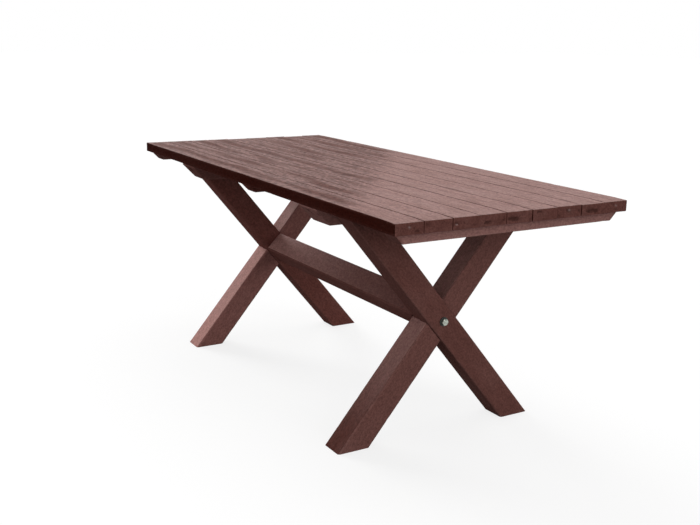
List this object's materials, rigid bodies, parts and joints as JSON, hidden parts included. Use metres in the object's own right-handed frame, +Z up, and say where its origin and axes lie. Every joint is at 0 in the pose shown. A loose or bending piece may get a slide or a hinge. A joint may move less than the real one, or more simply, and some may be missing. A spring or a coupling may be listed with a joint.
{
  "type": "cross-legged garden table",
  "caption": "Long rectangular outdoor table of brown recycled-plastic lumber: a slatted deck on two crossed-leg trestles joined by a square stretcher.",
  "frame": {"origin": "on the ground under the middle of the deck", "axes": "+X along the table towards the near trestle, +Y across the table, +Z up"},
  "size_m": [1.8, 0.791, 0.75],
  "materials": {
    "deck_plastic": "moulded recycled plastic lumber, finely mottled brown with a faint sheen on the upper faces",
    "frame_plastic": "moulded recycled plastic lumber, darker brown and dull, with rounded arrises and porous sawn ends",
    "zinc_steel": "bright zinc-plated steel",
    "washer_steel": "dull dark plated steel",
    "screw_steel": "zinc-plated screw heads, slightly dulled"
  },
  "bodies": {
    "root": {"deck_board_1": "deck_plastic", "deck_board_2": "deck_plastic", "deck_board_3": "deck_plastic", "deck_board_4": "deck_plastic", "deck_board_5": "deck_plastic", "deck_board_6": "deck_plastic", "deck_board_7": "deck_plastic", "deck_board_8": "deck_plastic", "deck_board_9": "deck_plastic", "middle_batten": "frame_plastic", "stretcher": "frame_plastic", "end_batten_near": "frame_plastic", "trestle_bearer_near": "frame_plastic", "leg_outer_near": "frame_plastic", "leg_inner_near": "frame_plastic", "crossing_screw_near": "zinc_steel", "crossing_washer_near": "washer_steel", "leg_top_screws_near": "zinc_steel", "leg_top_washers_near": "washer_steel", "end_batten_far": "frame_plastic", "trestle_bearer_far": "frame_plastic", "leg_outer_far": "frame_plastic", "leg_inner_far": "frame_plastic", "crossing_screw_far": "zinc_steel", "crossing_washer_far": "washer_steel", "leg_top_screws_far": "zinc_steel", "leg_top_washers_far": "washer_steel", "deck_screws_end_batten_near": "screw_steel", "deck_screws_trestle_bearer_near": "screw_steel", "deck_screws_middle_batten": "screw_steel", "deck_screws_trestle_bearer_far": "screw_steel", "deck_screws_end_batten_far": "screw_steel"}
  },
  "joints": []
}
